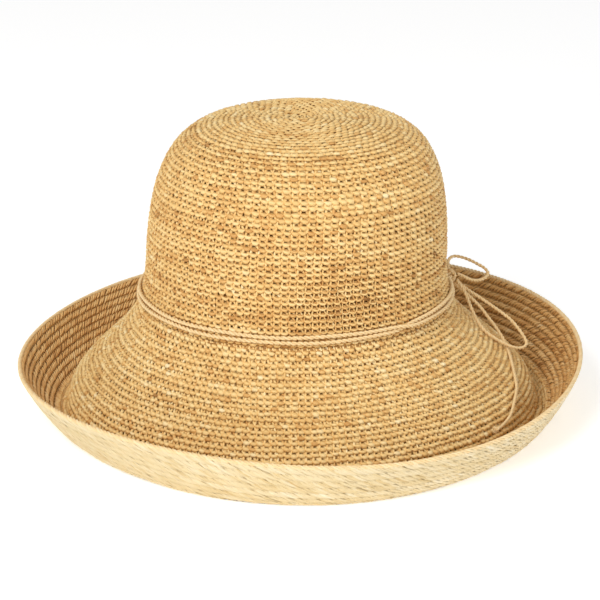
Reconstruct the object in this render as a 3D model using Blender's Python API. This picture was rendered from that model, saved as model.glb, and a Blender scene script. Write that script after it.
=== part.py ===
"""Straw sun hat: a crocheted raffia crown and bell brim, a plaited raffia rim and a tied raffia cord.

Frame: metres, +Z up. The hat stands on the lowest ring of its brim, at Z = 0. Its front faces -Y, and +X is
on the right of someone who looks at the front. The origin is under the middle of the rim.
"""

import math

import bmesh
import bpy
import numpy as np
from mathutils import Vector

MM = 0.001

# ---------------------------------------------------------------- driving dimensions
CROWN_RADIUS = 91.0 * MM  # outside of the crown's straight side, for a 57 cm head
FOOT_FLARE = 3.6 * MM  # the crown opens out a little at its foot,
FLARE_HEIGHT = 24.0 * MM  # over this height
FOOT_RADIUS = CROWN_RADIUS + FOOT_FLARE
CROWN_HEIGHT = 110.5 * MM  # from the foot of the crown to its top
CROWN_SIDE_POWER = 4.9  # how square the crown is where its side turns into its top
CROWN_TOP_POWER = 3.2  # how flat the middle of the crown's top is
CROWN_FOOT_SHIFT = (-2.6 * MM, -3.5 * MM)  # the crown stands a little forward of the rim's middle
CROWN_LEAN = 4.5 * MM  # and leans towards +X at its top

FOOT_HEIGHT = 71.0 * MM  # where the crown's side turns out into the brim
RIM_OUT = 77.4 * MM  # how far the rim lies outside the crown's foot
RIM_RISE_BACK = 5.2 * MM  # the rim is not level: it is higher at the back,
RIM_RISE_RIGHT = 2.6 * MM  # higher on the right,
RIM_TWIST = 3.0 * MM  # twisted a little like a saddle,
RIM_WAVE = 1.7 * MM  # and has three soft waves
VALLEY_SPREAD = 0.06  # the lowest ring lies further out at the front and back than at the sides
VALLEY_CORNER = 0.03  # and a little further in on the four diagonals
BELL_SWELL = 2.5 * MM  # the bell swells a little towards +X, halfway down

STRAW = 2.4 * MM  # thickness of the crochet and of the plaited braid
TIP_SHARE = 0.36  # how much of the way down the crown its round top reaches
SHOULDER_SHARE = 0.6  # and where its shoulder ends
BRAID_START = 2.6 * MM  # the braid starts this far before the lowest ring
EDGE_WIDTH = 5.0 * MM  # the rolled last course of the rim
EDGE_STRAW = 3.6 * MM
GAP = 0.3 * MM  # between two pieces that touch

RIBBON_HEIGHT = 28.0 * MM
RIBBON_LIFT = 1.0 * MM  # its lower edge's height over the crown's foot
RIBBON_THICK = 0.8 * MM
LABEL_WIDTH = 26.0 * MM
LABEL_HEIGHT = 16.0 * MM
LABEL_THICK = 0.6 * MM

CORD_RADIUS = 1.3 * MM  # the doubled cord round the crown
BOW_RADIUS = 1.1 * MM  # its free ends and loops, drawn tighter
CORD_PITCH = 3.1 * MM  # between the two turns round the crown
CORD_RISE = 2.0 * MM  # the lower turn's height over the crown's foot
KNOT_AZIMUTH = math.radians(11.0)
KNOT_HALF = (3.4 * MM, 4.6 * MM, 4.4 * MM)  # half sizes: outwards, around and up
END_KNOT_RADIUS = 2.3 * MM
CORD_STEP = 4.5 * MM  # between the points of a free cord

AROUND = 72  # facets round the hat
SLOPE_STEP = 1.0 * MM  # half the stretch over which the straw's slope is read

# The brim's outline under the crown's foot: how far out and how high, in millimetres, on its upper face
BRIM_OUTLINE = [
    (0.0, 71.0),
    (3.8, 62.0),
    (12.2, 51.2),
    (24.0, 40.0),
    (37.2, 28.4),
    (46.6, 17.6),
    (50.6, 8.0),
    (53.4, 2.2),
    (58.6, 2.0),
    (66.4, 12.4),
    (72.6, 24.0),
    (77.4, 35.2),
]
VALLEY_POINT = 7  # which of those points is the lowest one

# The free cords' routes, in millimetres, from the bow's knot. Both loops go back to it.
LONG_LOOP = [
    (96.7, 17.5, 72.2),
    (99.3, 18.0, 69.2),
    (102.8, 17.0, 66.4),
    (107.7, 16.0, 63.4),
    (112.7, 15.0, 60.2),
    (118.3, 14.0, 56.6),
    (124.5, 13.0, 52.3),
    (130.7, 11.0, 47.8),
    (135.8, 8.0, 42.3),
    (139.1, 4.6, 38.0),
    (139.9, 2.2, 35.6),
    (138.2, -0.4, 34.2),
    (134.4, -3.4, 34.6),
    (129.3, -5.6, 36.6),
    (122.3, -6.2, 40.4),
    (114.2, -5.8, 46.0),
    (109.3, -2.6, 51.5),
    (105.8, 2.0, 57.6),
    (103.4, 6.0, 63.0),
    (100.4, 9.4, 68.9),
    (96.8, 12.2, 72.7),
]
SHORT_LOOP = [
    (97.2, 16.2, 76.2),
    (99.8, 17.8, 74.8),
    (103.1, 20.2, 72.3),
    (107.6, 24.0, 69.4),
    (112.3, 28.0, 68.2),
    (116.1, 31.4, 69.0),
    (117.5, 34.2, 71.0),
    (115.2, 37.0, 73.2),
    (111.5, 39.2, 74.8),
    (107.2, 41.0, 76.6),
    (102.2, 42.0, 78.3),
    (97.1, 41.0, 79.5),
    (93.8, 37.4, 79.4),
    (92.4, 32.0, 78.2),
    (92.4, 26.0, 76.6),
    (93.0, 20.4, 75.4),
]
FRONT_TAIL = [
    (95.2, 15.4, 69.8),
    (97.6, 14.6, 68.4),
    (101.0, 13.4, 66.0),
    (107.3, 11.4, 60.7),
    (112.4, 10.2, 55.4),
    (116.3, 9.6, 50.2),
    (120.8, 9.4, 44.3),
    (125.2, 6.0, 38.2),
    (127.9, -4.0, 34.2),
    (129.0, -16.0, 32.2),
    (129.6, -29.0, 30.0),
    (130.2, -45.2, 25.4),
    (127.7, -60.4, 22.1),
    (124.2, -74.0, 18.3),
    (118.1, -87.0, 16.8),
    (115.6, -91.4, 17.4),
]
BACK_TAIL = [
    (92.8, 19.6, 71.3),
    (93.6, 24.0, 67.6),
    (94.2, 30.0, 63.8),
    (93.6, 37.0, 61.0),
    (91.6, 44.0, 59.0),
    (88.8, 51.0, 57.6),
]


# ---------------------------------------------------------------- the hat's outer face
def catmull_rom(points, per_span=16):
    """A smooth curve through every point."""
    points = np.asarray(points, float)
    ends = [2 * points[0] - points[1], 2 * points[-1] - points[-2]]
    padded = np.vstack([ends[0], points, ends[1]])
    curve = []
    for i in range(len(points) - 1):
        a, b, c, d = padded[i : i + 4]
        for t in np.arange(per_span) / per_span:
            tangent = c - a
            bend = 2 * a - 5 * b + 4 * c - d
            twist = 3 * b - a - 3 * c + d
            curve.append(0.5 * (2 * b + tangent * t + bend * t**2 + twist * t**3))
    curve.append(points[-1])
    return np.array(curve)


def length_of(curve):
    return float(np.linalg.norm(np.diff(curve, axis=0), axis=1).sum())


def at_lengths(curve, wanted):
    """The points at the wanted lengths along a 3-D curve."""
    steps = np.linalg.norm(np.diff(curve, axis=0), axis=1)
    along = np.concatenate([[0.0], np.cumsum(steps)])
    return np.column_stack([np.interp(wanted, along, curve[:, k]) for k in range(3)])


def crown_curve(azimuth):
    """The crown's outer face from the middle of its top down to its foot."""
    turn = np.linspace(0.0, math.pi / 2, 181)
    out = CROWN_RADIUS * np.sin(turn) ** (2 / CROWN_SIDE_POWER)
    rise = np.clip(np.cos(turn), 0.0, 1.0) ** (2 / CROWN_TOP_POWER)
    height = CROWN_HEIGHT * rise
    out = out + FOOT_FLARE * np.clip(1 - height / FLARE_HEIGHT, 0.0, 1.0) ** 2
    x = CROWN_FOOT_SHIFT[0] + CROWN_LEAN * rise**1.5 + out * math.cos(azimuth)
    y = CROWN_FOOT_SHIFT[1] + out * math.sin(azimuth)
    return np.column_stack([x, y, FOOT_HEIGHT + height])


def brim_curve(azimuth):
    """The brim's upper face from the crown's foot to the rim."""
    outline = catmull_rom(BRIM_OUTLINE) * MM
    valley = BRIM_OUTLINE[VALLEY_POINT][0] * MM
    out = outline[:, 0]
    spread = (VALLEY_CORNER * math.cos(4 * azimuth) - VALLEY_SPREAD * math.cos(2 * azimuth)) * np.sin(
        math.pi * (out / RIM_OUT) ** 2
    )
    swell = BELL_SWELL * np.sin(math.pi * out / RIM_OUT)
    risen = np.clip((out - valley) / (RIM_OUT - valley), 0.0, 1.0)
    warp = (
        RIM_RISE_BACK * math.sin(azimuth)
        + RIM_RISE_RIGHT * math.cos(azimuth)
        + RIM_TWIST * math.sin(2 * azimuth)
        + RIM_WAVE * math.cos(3 * azimuth)
    )
    inward = 1 - out / RIM_OUT
    radius = FOOT_RADIUS + out * (1 + spread)
    x = CROWN_FOOT_SHIFT[0] * inward + swell + radius * math.cos(azimuth)
    y = CROWN_FOOT_SHIFT[1] * inward + radius * math.sin(azimuth)
    return np.column_stack([x, y, outline[:, 1] + warp * risen])


def valley_length(azimuth):
    """How far along the brim's curve its lowest point is."""
    curve = brim_curve(azimuth)
    lowest = int(np.argmin(curve[:, 2]))
    return length_of(curve[: lowest + 1])


def azimuths(count=AROUND):
    return [2 * math.pi * i / count for i in range(count)]


def face_grid(curve_of, rows, span_of):
    """Rows of points on the outer face, and the face's outward direction at each."""
    columns = []
    slopes = []
    for azimuth in azimuths():
        curve = curve_of(azimuth)
        wanted = np.linspace(*span_of(azimuth), rows)
        columns.append(at_lengths(curve, wanted))
        slopes.append(at_lengths(curve, wanted + SLOPE_STEP) - at_lengths(curve, wanted - SLOPE_STEP))
    grid = np.array(columns).transpose(1, 0, 2)
    down = np.array(slopes).transpose(1, 0, 2)
    around = np.roll(grid, -1, axis=1) - np.roll(grid, 1, axis=1)
    normal = np.cross(down, around)
    length = np.linalg.norm(normal, axis=2, keepdims=True)
    upright = np.zeros_like(normal)
    upright[:, :, 2] = 1.0
    flat = length < MM**3
    return grid, np.where(flat, upright, normal / np.where(flat, 1.0, length))


# ---------------------------------------------------------------- building blocks
def clear_scene():
    for thing in list(bpy.data.objects):
        bpy.data.objects.remove(thing, do_unlink=True)


def material(name, colour, roughness):
    made = bpy.data.materials.new(name)
    made.use_nodes = True
    shader = made.node_tree.nodes["Principled BSDF"]
    shader.inputs["Base Color"].default_value = (*colour, 1.0)
    shader.inputs["Roughness"].default_value = roughness
    shader.inputs["Metallic"].default_value = 0.0
    return made


def add_object(name, data, surface):
    made = bpy.data.objects.new(name, data)
    bpy.context.scene.collection.objects.link(made)
    data.materials.append(surface)
    return made


def ring_of_verts(mesh, points):
    """One ring of vertices, or a single vertex where the ring has closed to a point."""
    if np.ptp(points, axis=0).max() < 1e-7:
        return [mesh.verts.new(points[0])]
    return [mesh.verts.new(p) for p in points]


def join_rings(mesh, first, second):
    """Faces between two rings that follow each other."""
    count = max(len(first), len(second))
    for i in range(count):
        k = (i + 1) % count
        if len(first) == 1:
            mesh.faces.new([first[0], second[i], second[k]])
        elif len(second) == 1:
            mesh.faces.new([first[i], second[0], first[k]])
        else:
            mesh.faces.new([first[i], second[i], second[k], first[k]])


def rings_body(name, rings, surface, closed):
    """A closed body from rings of points. Closed rings of rings go on to meet the first one."""
    mesh = bmesh.new()
    made = [ring_of_verts(mesh, ring) for ring in rings]
    for first, second in zip(made, made[1:]):
        join_rings(mesh, first, second)
    if closed:
        join_rings(mesh, made[-1], made[0])
    bmesh.ops.recalc_face_normals(mesh, faces=mesh.faces)
    data = bpy.data.meshes.new(name)
    mesh.to_mesh(data)
    mesh.free()
    for face in data.polygons:
        face.use_smooth = True
    return add_object(name, data, surface)


def shell_body(name, grid, normal, thick, surface):
    """A sheet of straw: the outer face and an inner face one thickness below it."""
    inner = grid - normal * thick
    inner[:, :, 2] = np.maximum(inner[:, :, 2], 0.0)
    closes_to_point = np.ptp(grid[0], axis=0).max() < 1e-7
    rings = list(grid) + list(inner[::-1])
    return rings_body(name, rings, surface, closed=not closes_to_point)


# ---------------------------------------------------------------- crochet and braid
def crown_tip(surface):
    """The round top, worked first, out to where the crown turns down."""
    def span(azimuth):
        return 0.0, TIP_SHARE * length_of(crown_curve(azimuth)) - GAP / 2

    grid, normal = face_grid(crown_curve, 7, span)
    return shell_body("crown_tip", grid, normal, STRAW, surface)


def crown_shoulder(surface):
    """The part that turns from the crown's top down into its side."""

    def span(azimuth):
        whole = length_of(crown_curve(azimuth))
        return TIP_SHARE * whole + GAP / 2, SHOULDER_SHARE * whole - GAP / 2

    grid, normal = face_grid(crown_curve, 6, span)
    return shell_body("crown_shoulder", grid, normal, STRAW, surface)


def crown_side(surface):
    """The near-upright side, down to the crown's foot."""

    def span(azimuth):
        whole = length_of(crown_curve(azimuth))
        return SHOULDER_SHARE * whole + GAP / 2, whole - GAP / 2

    grid, normal = face_grid(crown_curve, 7, span)
    return shell_body("crown_side", grid, normal, STRAW, surface)


def brim_bell(surface):
    """The crocheted part of the brim, which flares down from the crown."""

    def span(azimuth):
        return GAP / 2, valley_length(azimuth) - BRAID_START - GAP / 2

    grid, normal = face_grid(brim_curve, 9, span)
    return shell_body("brim_bell", grid, normal, STRAW, surface)


def brim_braid(surface):
    """The plaited part, round the lowest ring and up to the rim."""

    def span(azimuth):
        whole = length_of(brim_curve(azimuth))
        return valley_length(azimuth) - BRAID_START + GAP / 2, whole - EDGE_WIDTH - GAP / 2

    grid, normal = face_grid(brim_curve, 9, span)
    return shell_body("brim_braid", grid, normal, STRAW, surface)


def rim_edge(surface):
    """The last course, rolled a little thicker than the rest."""

    def span(azimuth):
        whole = length_of(brim_curve(azimuth))
        return whole - EDGE_WIDTH + GAP / 2, whole

    grid, normal = face_grid(brim_curve, 4, span)
    grown = (EDGE_STRAW - STRAW) / 2
    swell = np.array([0.0, 1.0, 1.0, 0.3])[:, None, None]
    outer = grid + normal * grown * swell
    inner = grid - normal * (STRAW + grown * swell)
    rings = list(outer) + list(inner[::-1])
    return rings_body("rim_edge", rings, surface, closed=True)


# ---------------------------------------------------------------- inside the crown
def inner_face(azimuth, height, depth):
    """A point inside the crown, depth below its outer face, at a height over the foot."""
    curve = crown_curve(azimuth)
    order = np.argsort(curve[:, 2])
    z = FOOT_HEIGHT + height
    x = np.interp(z, curve[order, 2], curve[order, 0]) - depth * math.cos(azimuth)
    y = np.interp(z, curve[order, 2], curve[order, 1]) - depth * math.sin(azimuth)
    return np.array([x, y, z])


def sweatband(surface):
    """The ribbon sewn inside the crown's foot, with its long edges a little thinner."""
    outer_depth = STRAW + GAP
    inner_depth = outer_depth + RIBBON_THICK
    heights = np.linspace(RIBBON_LIFT, RIBBON_LIFT + RIBBON_HEIGHT, 4)
    outline = [(h, outer_depth) for h in heights] + [(h, inner_depth) for h in heights[::-1]]
    rings = []
    for height, depth in outline:
        rings.append(np.array([inner_face(a, height, depth) for a in azimuths()]))
    return rings_body("sweatband", rings, surface, closed=True)


def size_tab(surface):
    """A blank woven tab on the ribbon, at the back."""
    outer_depth = STRAW + RIBBON_THICK + 3 * GAP
    inner_depth = outer_depth + LABEL_THICK
    middle = RIBBON_HEIGHT / 2 + RIBBON_LIFT
    heights = np.linspace(middle - LABEL_HEIGHT / 2, middle + LABEL_HEIGHT / 2, 4)
    outline = [(h, outer_depth) for h in heights] + [(h, inner_depth) for h in heights[::-1]]
    half_turn = LABEL_WIDTH / 2 / CROWN_RADIUS
    rings = []
    for step in np.linspace(-1, 1, 7):
        azimuth = math.pi / 2 + step * half_turn
        rings.append(np.array([inner_face(azimuth, height, depth) for height, depth in outline]))
    made = rings_body("size_tab", rings, surface, closed=False)
    mesh = bmesh.new()
    mesh.from_mesh(made.data)
    bmesh.ops.holes_fill(mesh, edges=mesh.edges)
    bmesh.ops.recalc_face_normals(mesh, faces=mesh.faces)
    mesh.to_mesh(made.data)
    mesh.free()
    return made


# ---------------------------------------------------------------- cord and bow
def tube(name, points, radius, surface):
    """A cord: a curve with a round bevel and filled ends."""
    data = bpy.data.curves.new(name, "CURVE")
    data.dimensions = "3D"
    data.bevel_depth = radius
    data.bevel_resolution = 2
    data.use_fill_caps = True
    spline = data.splines.new("POLY")
    spline.points.add(len(points) - 1)
    for slot, point in zip(spline.points, points):
        slot.co = (*point, 1.0)
    return add_object(name, data, surface)


def cord_turn(name, rise, surface):
    """One turn of cord round the crown, from one side of the bow's knot to the other."""
    knot_half_turn = (KNOT_HALF[1] + GAP) / FOOT_RADIUS
    clear = CORD_RADIUS + GAP
    points = []
    for step in np.linspace(0.0, 1.0, 81):
        azimuth = KNOT_AZIMUTH + knot_half_turn + step * (2 * math.pi - 2 * knot_half_turn)
        points.append(inner_face(azimuth, rise, -clear))
    return tube(name, points, CORD_RADIUS, surface)


def knot_centre():
    return inner_face(KNOT_AZIMUTH, CORD_RISE + CORD_PITCH / 2, -(KNOT_HALF[0] + 2 * GAP))


def bow_knot(surface):
    """The knot that ties the bow, drawn up tight against the crown."""
    mesh = bmesh.new()
    bmesh.ops.create_uvsphere(mesh, u_segments=20, v_segments=12, radius=1.0)
    turn = Vector((math.cos(KNOT_AZIMUTH), math.sin(KNOT_AZIMUTH), 0.0))
    side = Vector((-turn.y, turn.x, 0.0))
    up = Vector((0.0, 0.0, 1.0))
    centre = Vector(knot_centre())
    for vert in mesh.verts:
        p = vert.co.copy()
        vert.co = centre + turn * p.x * KNOT_HALF[0] + side * p.y * KNOT_HALF[1] + up * p.z * KNOT_HALF[2]
    data = bpy.data.meshes.new("bow_knot")
    mesh.to_mesh(data)
    mesh.free()
    for face in data.polygons:
        face.use_smooth = True
    return add_object("bow_knot", data, surface)


def free_cord(name, route, hinge, surface):
    """A cord along a smooth curve through its route, with its origin at the hinge it lifts on."""
    curve = catmull_rom(route) * MM
    count = round(length_of(curve) / CORD_STEP) + 1
    points = at_lengths(curve, np.linspace(0.0, length_of(curve), count))
    pivot = np.array(hinge) * MM
    made = tube(name, points - pivot, BOW_RADIUS, surface)
    made.location = pivot
    return made


def end_knot(name, route, hinge, surface):
    """The overhand knot that stops the end of a cord from fraying, moving with that cord."""
    route = [Vector(point) * MM for point in route]
    along = (route[-1] - route[-2]).normalized()
    centre = route[-1] + along * (END_KNOT_RADIUS + GAP)
    pivot = Vector(hinge) * MM
    mesh = bmesh.new()
    bmesh.ops.create_icosphere(mesh, subdivisions=2, radius=END_KNOT_RADIUS)
    bmesh.ops.translate(mesh, verts=mesh.verts, vec=centre - pivot)
    data = bpy.data.meshes.new(name)
    mesh.to_mesh(data)
    mesh.free()
    for face in data.polygons:
        face.use_smooth = True
    made = add_object(name, data, surface)
    made.location = pivot
    return made


def main():
    clear_scene()
    raffia = material("raffia_crochet", (0.66, 0.45, 0.21), 0.75)
    braid = material("raffia_braid", (0.74, 0.55, 0.30), 0.7)
    cord = material("raffia_cord", (0.70, 0.50, 0.25), 0.7)
    ribbon = material("ribbon", (0.72, 0.60, 0.42), 0.85)
    tab = material("tab", (0.86, 0.82, 0.74), 0.85)

    crown_tip(raffia)
    crown_shoulder(raffia)
    crown_side(raffia)
    brim_bell(raffia)
    brim_braid(braid)
    rim_edge(braid)
    sweatband(ribbon)
    size_tab(tab)
    cord_turn("cord_turn_lower", CORD_RISE, cord)
    cord_turn("cord_turn_upper", CORD_RISE + CORD_PITCH, cord)
    bow_knot(cord)
    free_cord("bow_loop_long", LONG_LOOP, LONG_LOOP[0], cord)
    free_cord("bow_loop_short", SHORT_LOOP, SHORT_LOOP[0], cord)
    free_cord("tail_front", FRONT_TAIL, LONG_LOOP[0], cord)
    end_knot("tail_front_knot", FRONT_TAIL, LONG_LOOP[0], cord)
    free_cord("tail_back", BACK_TAIL, BACK_TAIL[0], cord)
    end_knot("tail_back_knot", BACK_TAIL, BACK_TAIL[0], cord)


main()
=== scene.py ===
"""The looks of the straw sun hat: crochet, plaited rim, twisted cord, bow and ribbon, as real strands.

Every strand follows the hat's own surface, which is worked out here from the same few sizes as the CAD.
All lengths are in metres unless a name says otherwise.
"""

import math

import bpy
import numpy as np
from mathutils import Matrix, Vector


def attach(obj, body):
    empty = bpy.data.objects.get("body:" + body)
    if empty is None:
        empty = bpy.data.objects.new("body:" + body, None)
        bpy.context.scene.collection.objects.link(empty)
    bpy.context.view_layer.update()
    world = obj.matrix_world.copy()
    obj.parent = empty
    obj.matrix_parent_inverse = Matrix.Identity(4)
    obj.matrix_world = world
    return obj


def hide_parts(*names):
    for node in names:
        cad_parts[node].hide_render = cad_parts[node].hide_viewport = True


MM = 0.001
SEED = 7

# ---------------------------------------------------------------- the hat's shape, as in the frame
CROWN_RADIUS = 91.0 * MM
FOOT_FLARE = 3.6 * MM
FLARE_HEIGHT = 24.0 * MM
FOOT_RADIUS = CROWN_RADIUS + FOOT_FLARE
CROWN_HEIGHT = 110.5 * MM
CROWN_SIDE_POWER = 4.9
CROWN_TOP_POWER = 3.2
CROWN_FOOT_SHIFT = (-2.6 * MM, -3.5 * MM)
CROWN_LEAN = 4.5 * MM
FOOT_HEIGHT = 71.0 * MM
RIM_OUT = 77.4 * MM
RIM_RISE_BACK = 5.2 * MM
RIM_RISE_RIGHT = 2.6 * MM
RIM_TWIST = 3.0 * MM
RIM_WAVE = 1.7 * MM
VALLEY_SPREAD = 0.06
VALLEY_CORNER = 0.03
BELL_SWELL = 2.5 * MM
STRAW = 2.4 * MM
BRIM_OUTLINE = [
    (0.0, 71.0),
    (3.8, 62.0),
    (12.2, 51.2),
    (24.0, 40.0),
    (37.2, 28.4),
    (46.6, 17.6),
    (50.6, 8.0),
    (53.4, 2.2),
    (58.6, 2.0),
    (66.4, 12.4),
    (72.6, 24.0),
    (77.4, 35.2),
]
VALLEY_POINT = 7

# ---------------------------------------------------------------- how it is worked
CROWN_ROWS = 51
TIP_LAST_ROW = 18
SHOULDER_LAST_ROW = 31
CROWN_STITCH = 4.6 * MM
BELL_ROWS = 24
BELL_STITCH = 3.9 * MM
BELL_SHARE = 0.70  # how much of the way out along the brim the crochet goes
SMOOTH_ROWS = 4  # the bell's last rows lie close to the ground and have no ribs behind them
LEG_WIDTH = 1.85 * MM
CROWN_CHAIN = 2.2 * MM
BELL_CHAIN = 2.55 * MM
STITCH_THICK = 1.3 * MM
RIB_DEPTH = 2.0 * MM  # the ribs' middles lie this far under the surface
RIB_THICK = 1.1 * MM
RIB_LUMP = 0.25 * MM
RIB_PLACE = 0.98  # where a rib lies in its row, from the row's top down
GAP_SHEET_ROWS = 80
PLAIT_ROWS = 9
PLAIT_STITCH = 2.6 * MM
PLAIT_WIDE = 1.7 * MM
PLAIT_THICK = 1.1 * MM
PLAIT_SUNK = 1.1 * MM  # a plaited strand's point without lift lies this far under the surface
PLAIT_OVERLAP = 1.9  # how many stitches along a plaited strand reaches
PLAIT_TUCK = 0.008  # how far the first plaited row tucks under the crochet, as a share of the brim
UNDER_ROWS = 9
UNDER_STITCH = 2.3 * MM
FLOAT_WIDE = 2.25 * MM
FLOAT_THICK = 0.8 * MM
FLOAT_RISE = 0.55 * MM  # a float's ends lie this far above the straw's under side
FLOAT_TUCK = 0.02  # how far the floats reach in under the crochet, as a share of the brim
RIM_SHARE = 0.985  # the plaited rows stop here and the rolled edge row lies on their end
RIM_RADIUS = 1.4 * MM
SUNK = 1.3 * MM  # a stitch's point without lift lies this far under the surface
STRAND_REST = 0.35 * MM  # strands come no lower than this unless told otherwise
RING_STEPS = 240

CORD_RADIUS = 1.3 * MM
BOW_RADIUS = 1.1 * MM
CORD_RISE = 2.0 * MM
CORD_PITCH = 3.1 * MM
CROSSING_AZIMUTH = math.radians(312)
CROSSING_SPREAD = math.radians(3.5)
GAP = 0.3 * MM
KNOT_AZIMUTH = math.radians(11.0)
KNOT_HALF = (3.4 * MM, 4.6 * MM, 4.4 * MM)
RIBBON_LIFT = 1.0 * MM
RIBBON_HEIGHT = 28.0 * MM
RIBBON_THICK = 0.8 * MM
LABEL_WIDTH = 26.0 * MM
LABEL_HEIGHT = 16.0 * MM
LABEL_THICK = 0.6 * MM
LABEL_GAP = 0.6 * MM  # between the ribbon and the tab

# The free cords' routes, in metres, from the bow's knot. Both loops go back to it.
LONG_LOOP = [
    (0.0967, 0.0175, 0.0722),
    (0.0993, 0.0180, 0.0692),
    (0.1028, 0.0170, 0.0664),
    (0.1077, 0.0160, 0.0634),
    (0.1127, 0.0150, 0.0602),
    (0.1183, 0.0140, 0.0566),
    (0.1245, 0.0130, 0.0523),
    (0.1307, 0.0110, 0.0478),
    (0.1358, 0.0080, 0.0423),
    (0.1391, 0.0046, 0.0380),
    (0.1399, 0.0022, 0.0356),
    (0.1382, -0.0004, 0.0342),
    (0.1344, -0.0034, 0.0346),
    (0.1293, -0.0056, 0.0366),
    (0.1223, -0.0062, 0.0404),
    (0.1142, -0.0058, 0.0460),
    (0.1093, -0.0026, 0.0515),
    (0.1058, 0.0020, 0.0576),
    (0.1034, 0.0060, 0.0630),
    (0.1004, 0.0094, 0.0689),
    (0.0968, 0.0122, 0.0727),
]
SHORT_LOOP = [
    (0.0972, 0.0162, 0.0762),
    (0.0998, 0.0178, 0.0748),
    (0.1031, 0.0202, 0.0723),
    (0.1076, 0.0240, 0.0694),
    (0.1123, 0.0280, 0.0682),
    (0.1161, 0.0314, 0.0690),
    (0.1175, 0.0342, 0.0710),
    (0.1152, 0.0370, 0.0732),
    (0.1115, 0.0392, 0.0748),
    (0.1072, 0.0410, 0.0766),
    (0.1022, 0.0420, 0.0783),
    (0.0971, 0.0410, 0.0795),
    (0.0938, 0.0374, 0.0794),
    (0.0924, 0.0320, 0.0782),
    (0.0924, 0.0260, 0.0766),
    (0.0930, 0.0204, 0.0754),
]
FRONT_TAIL = [
    (0.0952, 0.0154, 0.0698),
    (0.0976, 0.0146, 0.0684),
    (0.1010, 0.0134, 0.0660),
    (0.1073, 0.0114, 0.0607),
    (0.1124, 0.0102, 0.0554),
    (0.1163, 0.0096, 0.0502),
    (0.1208, 0.0094, 0.0443),
    (0.1252, 0.0060, 0.0382),
    (0.1279, -0.0040, 0.0342),
    (0.1290, -0.0160, 0.0322),
    (0.1296, -0.0290, 0.0300),
    (0.1302, -0.0452, 0.0254),
    (0.1277, -0.0604, 0.0221),
    (0.1242, -0.0740, 0.0183),
    (0.1181, -0.0870, 0.0168),
    (0.1156, -0.0914, 0.0174),
]
BACK_TAIL = [
    (0.0928, 0.0196, 0.0713),
    (0.0936, 0.0240, 0.0676),
    (0.0942, 0.0300, 0.0638),
    (0.0936, 0.0370, 0.0610),
    (0.0916, 0.0440, 0.0590),
    (0.0888, 0.0510, 0.0576),
]

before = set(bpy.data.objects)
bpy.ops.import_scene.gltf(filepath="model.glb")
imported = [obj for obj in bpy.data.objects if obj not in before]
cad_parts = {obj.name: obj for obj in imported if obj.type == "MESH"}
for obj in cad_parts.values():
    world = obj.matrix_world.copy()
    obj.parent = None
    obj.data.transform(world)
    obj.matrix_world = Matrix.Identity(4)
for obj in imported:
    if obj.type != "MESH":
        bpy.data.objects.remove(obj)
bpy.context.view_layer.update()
chance = np.random.default_rng(SEED)


# ---------------------------------------------------------------- curves and the hat's surface
def catmull_rom(points, per_span=12):
    """A smooth curve through the points."""
    points = np.array(points, float)
    ends = np.vstack([2 * points[0] - points[1], points, 2 * points[-1] - points[-2]])
    curve = []
    for i in range(len(points) - 1):
        a, b, c, d = ends[i : i + 4]
        for step in range(per_span):
            t = step / per_span
            tangent = c - a
            bend = 2 * a - 5 * b + 4 * c - d
            twist = 3 * b - a - 3 * c + d
            curve.append(0.5 * (2 * b + tangent * t + bend * t**2 + twist * t**3))
    curve.append(points[-1])
    return np.array(curve)


def length_of(curve):
    """The length of a line of points."""
    return float(np.linalg.norm(np.diff(curve, axis=0), axis=1).sum())


def at_lengths(curve, wanted):
    """The points at the wanted lengths along a curve."""
    steps = np.linalg.norm(np.diff(curve, axis=0), axis=1)
    along = np.concatenate([[0.0], np.cumsum(steps)])
    return np.column_stack([np.interp(wanted, along, curve[:, k]) for k in range(3)])


def crown_curve(azimuth):
    """The crown's outer face from the middle of its top down to its foot."""
    turn = np.linspace(0.0, math.pi / 2, 181)
    out = CROWN_RADIUS * np.sin(turn) ** (2 / CROWN_SIDE_POWER)
    rise = np.clip(np.cos(turn), 0.0, 1.0) ** (2 / CROWN_TOP_POWER)
    height = CROWN_HEIGHT * rise
    out = out + FOOT_FLARE * np.clip(1 - height / FLARE_HEIGHT, 0.0, 1.0) ** 2
    x = CROWN_FOOT_SHIFT[0] + CROWN_LEAN * rise**1.5 + out * math.cos(azimuth)
    y = CROWN_FOOT_SHIFT[1] + out * math.sin(azimuth)
    return np.column_stack([x, y, FOOT_HEIGHT + height])


def brim_curve(azimuth):
    """The brim's upper face from the crown's foot to the rim."""
    outline = catmull_rom(BRIM_OUTLINE) * MM
    valley = BRIM_OUTLINE[VALLEY_POINT][0] * MM
    out = outline[:, 0]
    corner = VALLEY_CORNER * math.cos(4 * azimuth) - VALLEY_SPREAD * math.cos(2 * azimuth)
    spread = corner * np.sin(math.pi * (out / RIM_OUT) ** 2)
    swell = BELL_SWELL * np.sin(math.pi * out / RIM_OUT)
    risen = np.clip((out - valley) / (RIM_OUT - valley), 0.0, 1.0)
    warp = (
        RIM_RISE_BACK * math.sin(azimuth)
        + RIM_RISE_RIGHT * math.cos(azimuth)
        + RIM_TWIST * math.sin(2 * azimuth)
        + RIM_WAVE * math.cos(3 * azimuth)
    )
    inward = 1 - out / RIM_OUT
    radius = FOOT_RADIUS + out * (1 + spread)
    x = CROWN_FOOT_SHIFT[0] * inward + swell + radius * math.cos(azimuth)
    y = CROWN_FOOT_SHIFT[1] * inward + radius * math.sin(azimuth)
    return np.column_stack([x, y, outline[:, 1] + warp * risen])


def unit(vectors):
    """The vectors brought to length one."""
    length = np.linalg.norm(vectors, axis=-1, keepdims=True)
    return vectors / np.maximum(length, 1e-12)


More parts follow.
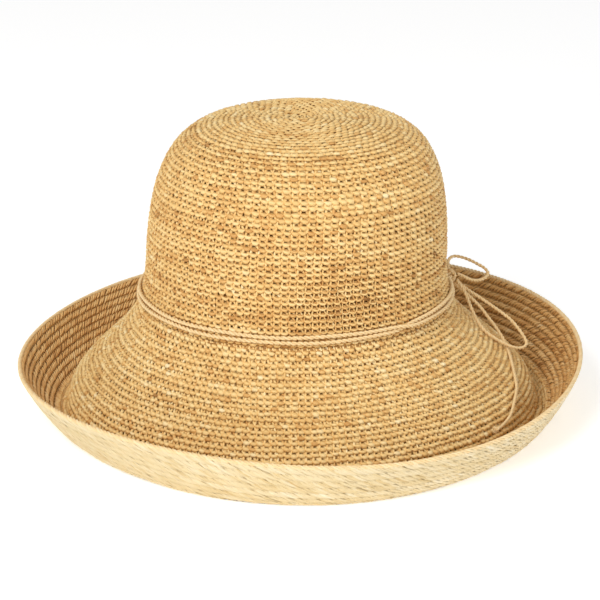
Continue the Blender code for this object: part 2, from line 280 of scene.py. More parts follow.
class Face:
    """One of the hat's surfaces, read at a turn (0 to 1 round the hat) and a share of the way down it."""

    COLUMNS = 180
    STATIONS = 161

    def __init__(self, curve_of):
        columns = []
        for i in range(self.COLUMNS):
            curve = curve_of(2 * math.pi * i / self.COLUMNS)
            columns.append(at_lengths(curve, np.linspace(0.0, length_of(curve), self.STATIONS)))
        self.points = np.array(columns)
        around = np.roll(self.points, -1, axis=0) - np.roll(self.points, 1, axis=0)
        down = np.gradient(self.points, axis=1)
        normals = np.cross(down, around)
        normals[:, 0] = (0.0, 0.0, 1.0)
        self.normals = unit(normals)
        if self.points[0, 0, 2] < self.points[0, -1, 2]:
            raise ValueError("the surface runs the wrong way")

    def read(self, table, turn, share):
        """A table's values at each turn and share, blended between its columns and stations."""
        column = (np.asarray(turn) % 1.0) * self.COLUMNS
        station = np.clip(share, 0.0, 1.0) * (self.STATIONS - 1)
        c0 = np.floor(column).astype(int) % self.COLUMNS
        s0 = np.minimum(np.floor(station).astype(int), self.STATIONS - 2)
        c1 = (c0 + 1) % self.COLUMNS
        u = (column - np.floor(column))[..., None]
        v = (station - s0)[..., None]
        near = table[c0, s0] * (1 - v) + table[c0, s0 + 1] * v
        far = table[c1, s0] * (1 - v) + table[c1, s0 + 1] * v
        return near * (1 - u) + far * u

    def place(self, turn, share, lift):
        """Points lifted off the surface, and the surface's outward direction there."""
        normal = unit(self.read(self.normals, turn, share))
        return self.read(self.points, turn, share) + normal * np.asarray(lift)[..., None], normal

    def around(self, share):
        """The length of the ring at a share of the way down."""
        ring = self.read(self.points, np.arange(360) / 360, np.full(360, share))
        return length_of(np.vstack([ring, ring[:1]]))


# ---------------------------------------------------------------- materials
def link(tree, output, target):
    """Joins two of a material's nodes."""
    tree.links.new(output, target)


def straw(name, stops, roughness=0.52, fibre=0.22, gloss=0.35):
    """Raffia: a colour per strand, streaks and grooves along its fibres, and a soft satin sheen."""
    made = bpy.data.materials.new(name)
    made.use_nodes = True
    tree = made.node_tree
    nodes = tree.nodes
    shader = nodes["Principled BSDF"]
    # the strand's own tone, moved up and down by streaks along its fibres
    tint = nodes.new("ShaderNodeAttribute")
    tint.attribute_name = "tint"
    line = nodes.new("ShaderNodeAttribute")
    line.attribute_name = "fibre"
    streak = nodes.new("ShaderNodeTexNoise")
    streak.inputs["Scale"].default_value = 1.0
    streak.inputs["Detail"].default_value = 2.0
    link(tree, line.outputs["Vector"], streak.inputs["Vector"])
    mixed = nodes.new("ShaderNodeMath")
    mixed.operation = "MULTIPLY_ADD"
    mixed.inputs[1].default_value = fibre * 2
    link(tree, streak.outputs["Fac"], mixed.inputs[0])
    lowered = nodes.new("ShaderNodeMath")
    lowered.operation = "SUBTRACT"
    lowered.inputs[1].default_value = fibre
    link(tree, tint.outputs["Fac"], lowered.inputs[0])
    link(tree, lowered.outputs[0], mixed.inputs[2])
    ramp = nodes.new("ShaderNodeValToRGB")
    elements = ramp.color_ramp.elements
    while len(elements) < len(stops):
        elements.new(0.5)
    for element, (place, colour) in zip(elements, stops):
        element.position = place
        element.color = (*colour, 1.0)
    link(tree, mixed.outputs[0], ramp.inputs["Fac"])
    link(tree, ramp.outputs["Color"], shader.inputs["Base Color"])
    bump = nodes.new("ShaderNodeBump")
    bump.inputs["Strength"].default_value = 0.5  # grooves along the fibres
    bump.inputs["Distance"].default_value = 0.25 * MM
    link(tree, streak.outputs["Fac"], bump.inputs["Height"])
    link(tree, bump.outputs["Normal"], shader.inputs["Normal"])
    # the lighter streaks are also the rougher ones
    rough = nodes.new("ShaderNodeMath")
    rough.operation = "MULTIPLY_ADD"
    rough.inputs[1].default_value = 0.3
    rough.inputs[2].default_value = roughness - 0.15
    link(tree, streak.outputs["Fac"], rough.inputs[0])
    link(tree, rough.outputs[0], shader.inputs["Roughness"])
    shader.inputs["Specular IOR Level"].default_value = gloss
    return made


CROCHET_TONES = [
    (0.00, (0.13, 0.045, 0.008)),
    (0.25, (0.65, 0.34, 0.10)),
    (0.50, (0.85, 0.56, 0.215)),
    (0.75, (0.93, 0.685, 0.32)),
    (1.00, (0.97, 0.83, 0.52)),
]
# The gap sheets' tones: the dark end is painted shade, for the dim inside of the hat seen through the holes.
GAP_SHEET_TONES = [
    (0.00, (0.10, 0.035, 0.006)),
    (0.30, (0.46, 0.22, 0.06)),
    (0.60, (0.74, 0.55, 0.28)),
    (1.00, (0.86, 0.74, 0.50)),
]
PLAIT_TONES = [
    (0.00, (0.36, 0.15, 0.04)),
    (0.25, (0.64, 0.34, 0.11)),
    (0.50, (0.82, 0.50, 0.19)),
    (0.75, (0.90, 0.62, 0.28)),
    (1.00, (0.95, 0.77, 0.46)),
]
UNDER_TONES = [
    (0.00, (0.52, 0.32, 0.12)),
    (0.25, (0.68, 0.51, 0.25)),
    (0.50, (0.75, 0.60, 0.34)),
    (0.75, (0.80, 0.67, 0.43)),
    (1.00, (0.87, 0.77, 0.56)),
]
CORD_TONES = [
    (0.00, (0.52, 0.29, 0.10)),
    (0.30, (0.76, 0.50, 0.22)),
    (0.60, (0.88, 0.65, 0.34)),
    (1.00, (0.96, 0.80, 0.52)),
]


def woven(name, dark, light, ribs):
    """Ribbed or plain woven tape."""
    made = bpy.data.materials.new(name)
    made.use_nodes = True
    tree = made.node_tree
    nodes = tree.nodes
    shader = nodes["Principled BSDF"]
    line = nodes.new("ShaderNodeAttribute")
    line.attribute_name = "fibre"
    wave = nodes.new("ShaderNodeTexWave")
    wave.inputs["Scale"].default_value = ribs
    wave.inputs["Distortion"].default_value = 1.2
    wave.inputs["Detail"].default_value = 2.0
    link(tree, line.outputs["Vector"], wave.inputs["Vector"])
    ramp = nodes.new("ShaderNodeValToRGB")
    ramp.color_ramp.elements[0].color = (*dark, 1.0)
    ramp.color_ramp.elements[1].color = (*light, 1.0)
    link(tree, wave.outputs["Fac"], ramp.inputs["Fac"])
    link(tree, ramp.outputs["Color"], shader.inputs["Base Color"])
    bump = nodes.new("ShaderNodeBump")
    bump.inputs["Strength"].default_value = 0.6
    bump.inputs["Distance"].default_value = 0.2 * MM
    link(tree, wave.outputs["Fac"], bump.inputs["Height"])
    link(tree, bump.outputs["Normal"], shader.inputs["Normal"])
    shader.inputs["Roughness"].default_value = 0.8
    return made


# ---------------------------------------------------------------- strands
def piece(name, verts, faces, tint, fibre, surface):
    """A smooth mesh with a colour value and fibre coordinates on each of its points."""
    data = bpy.data.meshes.new(name)
    data.vertices.add(len(verts))
    data.vertices.foreach_set("co", np.asarray(verts, np.float32).ravel())
    data.loops.add(faces.size)
    data.loops.foreach_set("vertex_index", np.asarray(faces, np.int32).ravel())
    data.polygons.add(len(faces))
    data.polygons.foreach_set("loop_start", np.arange(len(faces), dtype=np.int32) * faces.shape[1])
    data.polygons.foreach_set("use_smooth", np.ones(len(faces), bool))
    data.update(calc_edges=True)
    colour = data.attributes.new("tint", "FLOAT", "POINT")
    colour.data.foreach_set("value", np.asarray(tint, np.float32).ravel())
    place = data.attributes.new("fibre", "FLOAT_VECTOR", "POINT")
    place.data.foreach_set("vector", np.asarray(fibre, np.float32).ravel())
    data.materials.append(surface)
    made = bpy.data.objects.new(name, data)
    bpy.context.scene.collection.objects.link(made)
    return made


class Strands:
    """Collects flattened strands, each a row of points with a normal, a width and a thickness."""

    def __init__(self, sides=4, lowest=STRAND_REST):
        self.sides = sides
        self.lowest = lowest
        self.batches = []

    def add(self, points, normals, width, thick, tint):
        """points and normals are (strands, points, 3); width, thick are per point; tint is per strand."""
        count, steps = points.shape[:2]
        self.batches.append(
            (
                points,
                normals,
                np.broadcast_to(width, (count, steps)),
                np.broadcast_to(thick, (count, steps)),
                np.broadcast_to(tint, (count,)),
            )
        )

    def build(self, name, surface, closed=False):
        """One mesh of all the strands, each a flattened tube."""
        verts, faces, tints, fibres = [], [], [], []
        base = 0
        angle = 2 * math.pi * np.arange(self.sides) / self.sides
        for points, normals, width, thick, tint in self.batches:
            count, steps = points.shape[:2]
            if closed:
                along = np.roll(points, -1, axis=1) - np.roll(points, 1, axis=1)
            else:
                along = np.gradient(points, axis=1)
            along = unit(along)
            across = unit(np.cross(along, normals))
            upward = np.cross(across, along)
            side = across[:, :, None] * np.cos(angle)[:, None] * width[:, :, None, None] / 2
            rise = upward[:, :, None] * np.sin(angle)[:, None] * thick[:, :, None, None] / 2
            verts.append((points[:, :, None] + side + rise).reshape(-1, 3))
            spans = steps if closed else steps - 1
            n, i, k = np.meshgrid(np.arange(count), np.arange(spans), np.arange(self.sides), indexing="ij")
            ahead = (i + 1) % steps
            beside = (k + 1) % self.sides
            ring = base + n * steps * self.sides
            a = ring + i * self.sides + k
            b = ring + i * self.sides + beside
            c = ring + ahead * self.sides + beside
            d = ring + ahead * self.sides + k
            faces.append(np.stack([a, b, c, d], -1).reshape(-1, 4))
            gaps = np.linalg.norm(np.diff(points, axis=1), axis=2)
            run = np.concatenate([np.zeros((count, 1)), np.cumsum(gaps, axis=1)], axis=1)
            # fibre coordinates: one unit to 3 mm of length, and a place in the noise of each strand's own
            offset = chance.uniform(0, 900, count)
            fibre = np.empty((count, steps, self.sides, 3))
            fibre[..., 0] = (run / (3.0 * MM))[:, :, None] + offset[:, None, None]
            fibre[..., 1] = np.cos(angle) * 2.6 + offset[:, None, None] * 0.37
            fibre[..., 2] = np.sin(angle) * 1.2
            fibres.append(fibre.reshape(-1, 3))
            tints.append(np.broadcast_to(tint[:, None, None], (count, steps, self.sides)).ravel())
            base += count * steps * self.sides
        points = np.vstack(verts)
        points[:, 2] = np.maximum(points[:, 2], self.lowest)
        return piece(name, points, np.vstack(faces), np.concatenate(tints), np.vstack(fibres), surface)


def row_tone(turn, waves=(1, 2, 3, 5, 8, 13, 21)):
    """A soft change of colour along a row, as one length of raffia follows another."""
    total = np.zeros_like(turn)
    for wave in waves:
        total += chance.normal(0, 1) * np.cos(2 * math.pi * (wave * turn + chance.uniform())) / wave**0.25
    return total / math.sqrt(len(waves))


STRAND_TONE = 0.11  # how much neighbouring strands differ in tone

# One stitch, in its own width (x) and height (y, from its foot upwards), with each point's lift in mm and
# its share of the strand's width. The row's chain lies over the feet of the legs.
LEFT_LEG = [
    (0.20, 0.98, -0.2, 0.7),
    (0.25, 0.70, 0.15, 1.0),
    (0.33, 0.40, 0.25, 1.0),
    (0.40, 0.06, 0.0, 0.8),
]
RIGHT_LEG = [
    (0.76, 0.98, -0.2, 0.7),
    (0.71, 0.70, 0.15, 1.0),
    (0.63, 0.40, 0.25, 1.0),
    (0.56, 0.06, 0.0, 0.8),
]
CHAIN = [
    (0.42, 0.20, 0.0, 0.5),
    (0.80, 0.01, 1.1, 1.22),
    (1.14, -0.05, 1.2, 1.22),
    (1.54, 0.18, 0.0, 0.5),
]
INCREASE = 8  # stitches are added this many at a time as the rows grow
SLACK_TURN, SLACK_WIDE = 0.785, 0.055  # the crown's slackest stitches, as shares of a turn
SLACK_SHARE, SLACK_TALL = 0.90, 0.13  # and of the way down
LEAN = 0.16  # how far the top of a stitch leans back along its row, in stitch widths


def crochet(
    strands,
    face,
    top,
    bottom,
    rows,
    stitch,
    chain,
    tight=1.0,
    slack=0.0,
    shade=0.52,
    drift=0.02,
):
    """Rows of single crochet between two shares of the way down a surface, stitch above stitch.

    stitch is a stitch's width and chain the width of the chain's strand. tight is the strands' fullness,
    and slack how much of it is lost where the crown is slackest. shade is their tone. drift is how far a
    row steps along from the one above, in stitch widths. The second number given to chance.normal is how
    far the hand strays: in stitches, in mm for the lift, as a share for the width, and in tone.
    """
    tall = (bottom - top) / rows
    start = chance.uniform()
    for row in range(rows):
        foot = top + (row + 1) * tall
        around = face.around(min(foot - tall / 2, 1.0))
        count = INCREASE * max(1, round(around / stitch / INCREASE))
        start += chance.normal(drift, 0.05)
        begin = (np.arange(count) + start) / count
        tone = shade + 0.085 * row_tone(begin) + chance.normal(0, 0.03)
        wander = 0.05 * row_tone(begin, (2, 3, 5, 7, 11))[:, None]
        firm = tight * (1 + 0.08 * row_tone(begin, (1, 2, 3, 4)))[:, None]
        away = ((begin % 1.0 - SLACK_TURN) / SLACK_WIDE) ** 2 + ((foot - SLACK_SHARE) / SLACK_TALL) ** 2
        firm *= 1 - slack * np.exp(-away)[:, None]
        for shape, width in ((LEFT_LEG, LEG_WIDTH), (RIGHT_LEG, LEG_WIDTH), (CHAIN, chain)):
            shape = np.array(shape)
            y = shape[:, 1] + chance.normal(0, 0.05, (count, 1)) + chance.normal(0, 0.02, (count, 4)) + wander
            shifted = chance.normal(0, 0.05, (count, 1)) + chance.normal(0, 0.02, (count, 4))
            x = shape[:, 0] - LEAN * y + shifted
            lift = shape[:, 2] * MM + chance.normal(0, 0.08, (count, 1)) * MM - SUNK
            points, normals = face.place(begin[:, None] + x / count, foot - y * tall, lift)
            wide = width * shape[:, 3] * chance.normal(1.0, 0.12, (count, 1)) * firm
            thick = STITCH_THICK * shape[:, 3]
            strands.add(points, normals, wide, thick, tone + chance.normal(0, STRAND_TONE, count))


def ribs(strands, face, bottom, rows, wide):
    """The wrong side of the crochet: one lumpy rib behind each row's chain, down to a share."""
    tall = bottom / rows
    turn = np.arange(RING_STEPS) / RING_STEPS
    for row in range(rows):
        share = np.full(RING_STEPS, min((row + RIB_PLACE) * tall, 1.0))
        lumps = RIB_LUMP * np.sin(2 * math.pi * turn * round(face.around(share[0]) / CROWN_STITCH))
        points, normals = face.place(turn, share, -RIB_DEPTH + lumps)
        strands.add(points[None], normals[None], wide, RIB_THICK, 0.42 + chance.normal(0, 0.05))


def gap_sheet(name, face, top, bottom, depth, shade, resting=0.2 * MM):
    """A thin sheet under the strands, which closes the gaps between the stitches; a dark tone on it is
    painted shade, for the dim inside seen through the holes.
    """
    around, down = RING_STEPS, GAP_SHEET_ROWS
    turn, share = np.meshgrid(np.arange(around) / around, np.linspace(top, bottom, down))
    points, _ = face.place(turn, share, np.full(turn.shape, -depth))
    points[..., 2] = np.maximum(points[..., 2], resting)
    faces = []
    for row in range(down - 1):
        for k in range(around):
            m = (k + 1) % around
            upper, lower = row * around, (row + 1) * around
            faces.append((upper + k, upper + m, lower + m, lower + k))
    fibre = np.stack([turn * 190, share * 60, share * 0], -1)
    tint = np.full(turn.shape, shade) + chance.normal(0, 0.03, turn.shape)
    points, fibre = points.reshape(-1, 3), fibre.reshape(-1, 3)
    return piece(name, points, np.array(faces), tint.ravel(), fibre, gap_sheet_straw)


# A plaited strand and a float, as a stitch is given. A float's lift is measured downwards.
PLAITED = [
    (0.0, 0.06, 0.0, 0.5),
    (0.32, 0.30, 0.85, 1.0),
    (0.72, 0.66, 0.95, 1.0),
    (1.0, 0.95, 0.0, 0.5),
]
FLOATED = [
    (4.0, 1.06, 0.0, 0.6),
    (2.7, 0.72, 0.3, 1.0),
    (1.3, 0.36, 0.35, 1.0),
    (0.0, -0.06, 0.0, 0.6),
]


def plait(strands, face, top):
    """Rope-like rows from a share down to the rim: each strand runs slantwise over its row's ridge."""
    shape = np.array(PLAITED)
    tall = (RIM_SHARE - top) / PLAIT_ROWS
    for row in range(PLAIT_ROWS):
        foot = top + (row + 1) * tall
        count = round(face.around(min(foot - tall / 2, 1.0)) / PLAIT_STITCH)
        begin = (np.arange(count) + chance.uniform()) / count
        tone = 0.50 + 0.07 * row_tone(begin) + chance.normal(0, 0.03)
        x = shape[:, 0] * PLAIT_OVERLAP + chance.normal(0, 0.12, (count, 1))
        y = shape[:, 1] + chance.normal(0, 0.06, (count, 4))
        lift = shape[:, 2] * MM + chance.normal(0, 0.06, (count, 1)) * MM - PLAIT_SUNK
        points, normals = face.place(begin[:, None] + x / count, foot - y * tall, lift)
        wide = PLAIT_WIDE * shape[:, 3] * chance.normal(1.0, 0.1, (count, 1))
        thick = PLAIT_THICK * shape[:, 3]
        strands.add(points, normals, wide, thick, tone + chance.normal(0, STRAND_TONE, count))


def floats(strands, face, top):
    """The smooth under side of the plaited rows: long, flat strands at a low slant."""
    shape = np.array(FLOATED)
    tall = (RIM_SHARE - top) / UNDER_ROWS
    for row in range(UNDER_ROWS):
        foot = top + (row + 1) * tall
        count = round(face.around(min(foot - tall / 2, 1.0)) / UNDER_STITCH)
        begin = (np.arange(count) + chance.uniform()) / count
        tone = 0.55 + 0.07 * row_tone(begin) + chance.normal(0, 0.04)
        x = shape[:, 0] + chance.normal(0, 0.15, (count, 1))
        y = shape[:, 1] + chance.normal(0, 0.05, (count, 1))
        lift = -STRAW + FLOAT_RISE - shape[:, 2] * MM + chance.normal(0, 0.09, (count, 1)) * MM
        points, normals = face.place(begin[:, None] + x / count, foot - y * tall, lift)
        wide = FLOAT_WIDE * shape[:, 3] * chance.normal(1.0, 0.14, (count, 1))
        thick = FLOAT_THICK * shape[:, 3]
        strands.add(points, normals, wide, thick, tone + chance.normal(0, STRAND_TONE, count))


# ---------------------------------------------------------------- ropes
def even_path(route, step=0.5 * MM):
    """A cord's route as a smooth path of evenly spaced points."""
    curve = catmull_rom(route)
    count = max(2, round(length_of(curve) / step) + 1)
    return at_lengths(curve, np.linspace(0.0, length_of(curve), count))


def rope(name, path, radius, surface, plies=2, lay=6.0 * MM, closed=False, tone=0.6, sides=6):
    """A twisted cord along a path of close points. Its plies swell a little, and taper at free ends."""
    if closed:
        along = unit(np.roll(path, -1, axis=0) - np.roll(path, 1, axis=0))
    else:
        along = unit(np.gradient(path, axis=0))
    start = np.cross(along[0], (0.0, 0.0, 1.0))
    side = [start / max(np.linalg.norm(start), 1e-9)]
    for k in range(1, len(path)):
        carried = side[-1] - along[k] * np.dot(side[-1], along[k])
        side.append(carried / np.linalg.norm(carried))
    side = np.array(side)
    other = np.cross(along, side)
    steps = np.linalg.norm(np.diff(path, axis=0), axis=1)
    run = np.concatenate([[0.0], np.cumsum(steps)])
    turns = run / lay
    if closed:
        turns = run / run[-1] * round(run[-1] / lay)
    ply_radius = radius * (0.56 if plies == 2 else 0.50)  # the plies press into one another
    strands = Strands(sides)
    for ply in range(plies):
        angle = 2 * math.pi * (turns + ply / plies)
        outward = side * np.cos(angle)[:, None] + other * np.sin(angle)[:, None]
        centre = path + outward * (radius - ply_radius)
        size = 2 * ply_radius * (1 + 0.06 * np.sin(2 * math.pi * run / (7.3 * MM) + ply))
        if not closed:
            size = size * np.clip(np.minimum(run, run[-1] - run) / (0.6 * MM) + 0.35, 0.0, 1.0)
        shade = tone + 0.08 * (ply - (plies - 1) / 2)
        strands.add(centre[None], outward[None], size[None], size[None], shade)
    return strands.build(name, surface, closed)


def on_hat(made, slot, *nodes, body="hat"):
    """Rides the piece on its body, and has it stand for those CAD nodes."""
    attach(made, body)
    if nodes:
        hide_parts(*nodes)
    return made


# ---------------------------------------------------------------- the straw
def make_crown(face, surface):
    """The crown in three stretches of crochet: a firm top, a shoulder and a slacker side."""
    zones = (
        # the tip's higher tone (0.60) is painted light, for the stronger light on the crown's top
        (0, TIP_LAST_ROW, "crown_tip", dict(tight=1.3, shade=0.60, drift=0.37)),
        (TIP_LAST_ROW, SHOULDER_LAST_ROW, "crown_shoulder", dict(tight=1.08, shade=0.52, drift=0.10)),
        (SHOULDER_LAST_ROW, CROWN_ROWS, "crown_side", dict(tight=0.98, shade=0.50, drift=0.02)),
    )
    for first, last, node, work in zones:
        strands = Strands()
        top, bottom = first / CROWN_ROWS, last / CROWN_ROWS
        crochet(strands, face, top, bottom, last - first, CROWN_STITCH, CROWN_CHAIN, slack=0.5, **work)
        on_hat(strands.build(node + "_stitches", surface), "raffia_crochet", node)
    strands = Strands()
    ribs(strands, face, 1.0, CROWN_ROWS, 3.0 * MM)
    on_hat(strands.build("crown_ribs", surface, closed=True), "raffia_crochet")
    first_ring = 0.004
    # the crown's sheet at the darkest tone is painted shade, for the dim inside seen through the holes
    on_hat(gap_sheet("crown_painted_shade_sheet", face, first_ring, 1.0, 2.1 * MM, 0.0), "raffia_crochet")


def make_bell(face, surface):
    """The crocheted part of the brim, in two pieces."""
    half = BELL_ROWS // 2
    for first, last, name in ((0, half, "bell_upper_stitches"), (half, BELL_ROWS, "bell_lower_stitches")):
        strands = Strands()
        top, bottom = BELL_SHARE * first / BELL_ROWS, BELL_SHARE * last / BELL_ROWS
        # shade=0.58 sets the bell lighter than the crown's side: painted light, brightening its dimly lit
        # slope
        crochet(strands, face, top, bottom, last - first, BELL_STITCH, BELL_CHAIN, shade=0.58)
        on_hat(strands.build(name, surface), "raffia_crochet", "brim_bell")
    strands = Strands()
    ribbed = BELL_ROWS - SMOOTH_ROWS
    ribs(strands, face, BELL_SHARE * ribbed / BELL_ROWS, ribbed, 3.2 * MM)
    join_under_crown(strands, face)
    on_hat(strands.build("bell_ribs", surface, closed=True), "raffia_crochet")
    # the bell's sheet is dark: painted shade in the holes between its stitches
    on_hat(gap_sheet("bell_painted_shade_sheet", face, 0.0, BELL_SHARE + 0.04, 1.9 * MM, 0.25, 0.3 * MM), "raffia_crochet")


def join_under_crown(strands, face):
    """A broad dark band behind the join of crown and brim: painted shade, seen through the gaps in the join.
    """
    share, depth = 0.004, 1.7 * MM
    wide, thick = 6.0 * MM, 0.8 * MM
    turn = np.arange(RING_STEPS) / RING_STEPS
    points, normals = face.place(turn, np.full(RING_STEPS, share), np.full(RING_STEPS, -depth))
    strands.add(points[None], normals[None], wide, thick, 0.2)


def make_plait(face, upper, under):
    """The plaited part of the brim: ridged above, smooth below, with a sheet behind each side."""
    strands = Strands()
    plait(strands, face, BELL_SHARE - PLAIT_TUCK)
    on_hat(strands.build("brim_plait", upper), "raffia_braid", "brim_braid")
    strands = Strands(lowest=0.0)
    floats(strands, face, BELL_SHARE - FLOAT_TUCK)
    on_hat(strands.build("brim_plait_under", under), "raffia_braid")
    # the upper sheet's darker tone is painted shade in the gaps between the plaited rows; the under sheet is
    # pale and only closes the gaps
    top = BELL_SHARE - 0.03
    sheet = gap_sheet("brim_painted_shade_sheet_upper", face, top, RIM_SHARE, 1.2 * MM, 0.42, 0.5 * MM)
    on_hat(sheet, "raffia_braid")
    top = BELL_SHARE - FLOAT_TUCK
    sheet = gap_sheet("brim_gap_sheet_under", face, top, RIM_SHARE, 1.75 * MM, 0.80, 0.1 * MM)
    on_hat(sheet, "raffia_braid")


def make_rim(face, surface):
    """The last row, rolled over the edge as a three-ply rope."""
    steps = 1100
    path, _ = face.place(np.arange(steps) / steps, np.full(steps, RIM_SHARE), np.full(steps, -STRAW / 2))
    made = rope("rim_rope", path, RIM_RADIUS, surface, plies=3, lay=9 * MM, closed=True, tone=0.66)
    on_hat(made, "raffia_braid", "rim_edge")


# ---------------------------------------------------------------- the cord and its bow
def make_turns(face, surface):
    """Two turns of cord round the crown's foot, which change places once at the front right."""
    half_turn = (KNOT_HALF[1] + GAP) / FOOT_RADIUS
    azimuth = np.linspace(KNOT_AZIMUTH + half_turn, KNOT_AZIMUTH + 2 * math.pi - half_turn, 1150)
    crossing = 1 / (1 + np.exp(-(azimuth - CROSSING_AZIMUTH) / CROSSING_SPREAD))
    whole = length_of(crown_curve(0.0))
    apart = np.sin(math.pi * crossing)
    for name, side in (("cord_turn_lower", -1), ("cord_turn_upper", 1)):
        rise = CORD_RISE + CORD_PITCH / 2 + side * CORD_PITCH / 2 * np.cos(math.pi * crossing)
        sway = 0.25 * MM * np.sin(azimuth * 9 + side)
        out = CORD_RADIUS + 0.4 * MM + (0.9 + 0.9 * side) * MM * apart
        path, _ = face.place(azimuth / (2 * math.pi), 1 - (rise + sway) / whole, out)
        made = rope(name + "_rope", path, CORD_RADIUS, surface, lay=6.5 * MM)
        on_hat(made, "raffia_cord", name)


def knot_centre(face):
    """The middle of the bow's knot, and the outward direction there."""
    whole = length_of(crown_curve(0.0))
    turn = KNOT_AZIMUTH / (2 * math.pi)
    rise = CORD_RISE + CORD_PITCH / 2
    place, normal = face.place(np.array([turn]), np.array([1 - rise / whole]), np.array([KNOT_HALF[0] + GAP]))
    return place[0], normal[0]


def make_knot(face, surface):
    """The bow's knot: about two and a half turns of cord wrapped over the doubled cord."""
    centre, outward = knot_centre(face)
    outward = unit(outward * (1, 1, 0))
    tangent = np.cross((0.0, 0.0, 1.0), outward)
    wraps = 2.6
    steps = 260
    angle = np.linspace(0, 2 * math.pi * wraps, steps)
    spread = np.linspace(-2.6, 2.6, steps) * MM
    path = centre + outward * (np.cos(angle) * 2.2 * MM)[:, None]
    path = path + np.array((0.0, 0.0, 1.0)) * (np.sin(angle) * 3.2 * MM)[:, None]
    path = path + tangent * (spread + 0.5 * MM * np.sin(angle * 0.5))[:, None]
    made = rope("bow_knot_wraps", path, BOW_RADIUS * 1.1, surface, lay=5.5 * MM)
    on_hat(made, "raffia_cord", "bow_knot")
    core = np.linspace(-3.6, 3.6, 30) * MM
    middle = centre + tangent * core[:, None]
    made = rope("bow_knot_core", middle, 1.7 * MM, surface, lay=9 * MM, tone=0.5)
    on_hat(made, "raffia_cord")


def make_end_knot(name, route, node, body, surface):
    """A small overhand knot with a few frayed fibre ends."""
    route = np.array(route)
    along = unit(route[-1] - route[-2])
    centre = route[-1] + along * 2.4 * MM
    side = unit(np.cross(along, (0.0, 0.0, 1.0)))
    other = np.cross(side, along)
    t = np.linspace(0, 2 * math.pi, 120, endpoint=False)
    shape = np.column_stack([np.sin(t) + 2 * np.sin(2 * t), np.cos(t) - 2 * np.cos(2 * t), -np.sin(3 * t)])
    path = centre + (shape @ np.array([side, other, along])) * 0.55 * MM
    made = rope(name, path, 0.85 * MM, surface, lay=5 * MM, closed=True)
    on_hat(made, "raffia_cord", node, body=body)
    frays = Strands()
    count = 9
    spread = chance.normal(0, 0.28, (count, 2))
    reach = chance.uniform(2.5, 5.0, count) * MM
    aim = unit(along + spread[:, :1] * side + spread[:, 1:] * other)
    share = np.linspace(0, 1, 4)
    points = centre + aim[:, None] * (reach[:, None] * share)[..., None]
    points = points + other * (-0.6 * MM * share**2)[None, :, None]
    frays.add(points, np.broadcast_to(side, points.shape), 0.45 * MM * (1.2 - share), 0.2 * MM, 0.7)
    fray = frays.build(name + "_fray", surface)
    on_hat(fray, "raffia_cord", body=body)
    return [made, fray]


def make_bow(surface):
    """The bow's two loops and two tails, each a free cord."""
    cords = (
        ("bow_loop_long", LONG_LOOP, "bow_front", "object"),
        ("bow_loop_short", SHORT_LOOP, "bow_side", "object"),
        ("tail_front", FRONT_TAIL, "bow_front", "knot"),
        ("tail_back", BACK_TAIL, "bow_back", "knot"),
    )
    for name, route, body, end in cords:
        path = even_path(route)
        made = rope(name + "_rope", path, BOW_RADIUS, surface, lay=5.0 * MM)
        on_hat(made, "raffia_cord", name, body=body)
        pieces = []
        if end == "knot":
            pieces = make_end_knot(name + "_end", route, name + "_knot", body, surface)


# ---------------------------------------------------------------- inside the crown
def inner_face(azimuth, height, depth):
    """A point inside the crown, depth under its outer face, at a height over the foot."""
    curve = crown_curve(azimuth)
    order = np.argsort(curve[:, 2])
    out = np.hypot(curve[order, 0] - CROWN_FOOT_SHIFT[0], curve[order, 1] - CROWN_FOOT_SHIFT[1])
    radius = np.interp(FOOT_HEIGHT + height, curve[order, 2], out) - depth
    x = CROWN_FOOT_SHIFT[0] + radius * math.cos(azimuth)
    y = CROWN_FOOT_SHIFT[1] + radius * math.sin(azimuth)
    return x, y, FOOT_HEIGHT + height


def strip(name, turns, low, high, outer, thick, surface, closed):
    """A curved strip of tape inside the crown, with both its faces."""
    heights = np.linspace(low, high, 9)
    around = [(h, outer) for h in heights] + [(h, outer + thick) for h in heights[::-1]]
    points = np.array([[inner_face(a, h, d) for h, d in around] for a in turns])
    count, ring = points.shape[:2]
    faces = []
    for i in range(count if closed else count - 1):
        for k in range(ring):
            j, m = (i + 1) % count, (k + 1) % ring
            faces.append((i * ring + k, j * ring + k, j * ring + m, i * ring + m))
    fibre = np.zeros((count, ring, 3))
    fibre[..., 0] = (np.arange(count) * CROWN_RADIUS * (turns[1] - turns[0]) / MM)[:, None]
    fibre[..., 1] = np.array([h for h, _ in around]) / MM
    tint = np.full(count * ring, 0.5)
    return piece(name, points.reshape(-1, 3), np.array(faces), tint, fibre.reshape(-1, 3), surface)


def make_inside():
    """The ribbon round the inside of the crown's foot, and the blank tab on it at the back."""
    ribbon = woven("ribbon", (0.42, 0.33, 0.20), (0.66, 0.55, 0.38), 0.55)
    tape = woven("tab", (0.70, 0.66, 0.57), (0.86, 0.83, 0.76), 1.1)
    outer = STRAW + GAP
    steps = 360
    turns = [2 * math.pi * i / steps for i in range(steps)]
    top = RIBBON_LIFT + RIBBON_HEIGHT
    band = strip("sweatband_ribbon", turns, RIBBON_LIFT, top, outer, RIBBON_THICK, ribbon, closed=True)
    on_hat(band, "ribbon", "sweatband")
    half = LABEL_WIDTH / 2 / CROWN_RADIUS
    turns = list(math.pi / 2 + np.linspace(-half, half, 24))
    middle = RIBBON_LIFT + RIBBON_HEIGHT / 2
    low, high = middle - LABEL_HEIGHT / 2, middle + LABEL_HEIGHT / 2
    outer = outer + RIBBON_THICK + LABEL_GAP
    tab = strip("size_tab_tape", turns, low, high, outer, LABEL_THICK, tape, closed=False)
    on_hat(tab, "tab", "size_tab")


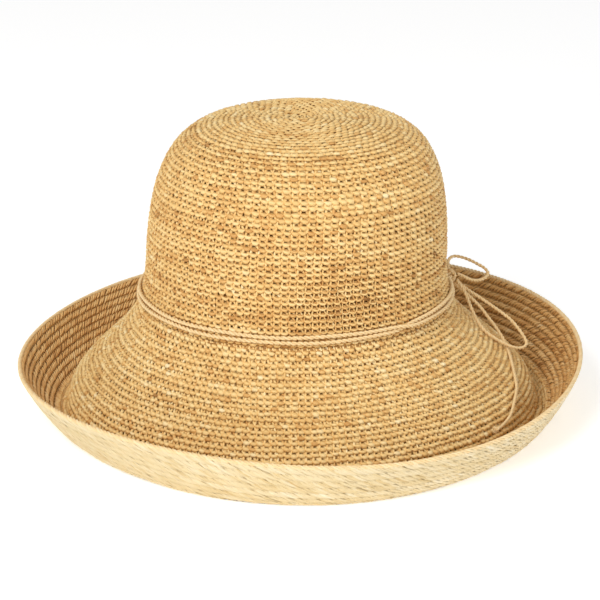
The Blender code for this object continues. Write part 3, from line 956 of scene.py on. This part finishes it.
# ---------------------------------------------------------------- the studio
def area_light(name, place, aim, size, power, colour=(1.0, 1.0, 1.0)):
    """A round soft light at a place, turned towards a point."""
    data = bpy.data.lights.new(name, "AREA")
    data.shape = "DISK"
    data.size = size
    data.energy = power
    data.color = colour
    made = bpy.data.objects.new(name, data)
    made.location = place
    made.rotation_euler = (Vector(aim) - Vector(place)).to_track_quat("-Z", "Y").to_euler()
    bpy.context.scene.collection.objects.link(made)


def make_studio():
    """A plain pale floor and plain soft light."""
    data = bpy.data.meshes.new("floor")
    half = 6.0
    corners = [(-half, -half, 0), (half, -half, 0), (half, half, 0), (-half, half, 0)]
    data.from_pydata(corners, [], [(0, 1, 2, 3)])
    surface = bpy.data.materials.new("floor")
    surface.use_nodes = True
    shader = surface.node_tree.nodes["Principled BSDF"]
    shader.inputs["Base Color"].default_value = (0.92, 0.92, 0.92, 1.0)
    shader.inputs["Emission Color"].default_value = (1.0, 1.0, 1.0, 1.0)
    shader.inputs["Emission Strength"].default_value = 0.4
    shader.inputs["Roughness"].default_value = 0.9
    data.materials.append(surface)
    floor = bpy.data.objects.new("floor", data)
    floor.location = (0, 0, -0.4 * MM)
    bpy.context.scene.collection.objects.link(floor)
    world = bpy.data.worlds.new("studio")
    world.use_nodes = True
    world.node_tree.nodes["Background"].inputs["Color"].default_value = (1.0, 1.0, 1.0, 1.0)
    world.node_tree.nodes["Background"].inputs["Strength"].default_value = 0.5
    bpy.context.scene.world = world
    bpy.context.scene.view_settings.view_transform = "Standard"
    area_light("key", (-0.75, -1.35, 1.35), (0, 0, 0.08), size=0.9, power=21.0, colour=(1.0, 0.98, 0.95))
    area_light("fill", (1.1, -1.4, 0.8), (0, 0, 0.08), size=1.2, power=6.0)


def make_camera():
    """The photo's view: 19.6 degrees down on the hat's front from 1.5 m."""
    tilt = math.radians(19.6)
    away = 1.5
    aim = Vector((0.0, 0.0, 0.06))
    data = bpy.data.cameras.new("photo")
    data.sensor_width = 36.0
    data.lens = 146.7
    data.shift_y = 0.0123333
    made = bpy.data.objects.new("photo", data)
    made.location = aim - Vector((0.0, math.cos(tilt), -math.sin(tilt))) * away
    made.rotation_euler = (math.pi / 2 - tilt, 0.0, 0.0)
    bpy.context.scene.collection.objects.link(made)
    bpy.context.scene.camera = made


# ---------------------------------------------------------------- everything
crown_face = Face(crown_curve)
brim_face = Face(brim_curve)
crochet_straw = straw("raffia_crochet", CROCHET_TONES)
# matt and without gloss, so the sheets' painted shade stays dark in the holes
gap_sheet_straw = straw("raffia_gap_sheet_painted_shade", GAP_SHEET_TONES, roughness=0.9, fibre=0.10, gloss=0.0)
plait_straw = straw("raffia_braid", PLAIT_TONES)
under_straw = straw("raffia_braid_under", UNDER_TONES)
cord_straw = straw("raffia_cord", CORD_TONES)
make_camera()
make_bow(cord_straw)
make_turns(crown_face, cord_straw)
make_knot(crown_face, cord_straw)
make_crown(crown_face, crochet_straw)
make_bell(brim_face, crochet_straw)
make_plait(brim_face, plait_straw, under_straw)
make_rim(brim_face, cord_straw)
make_inside()
make_studio()
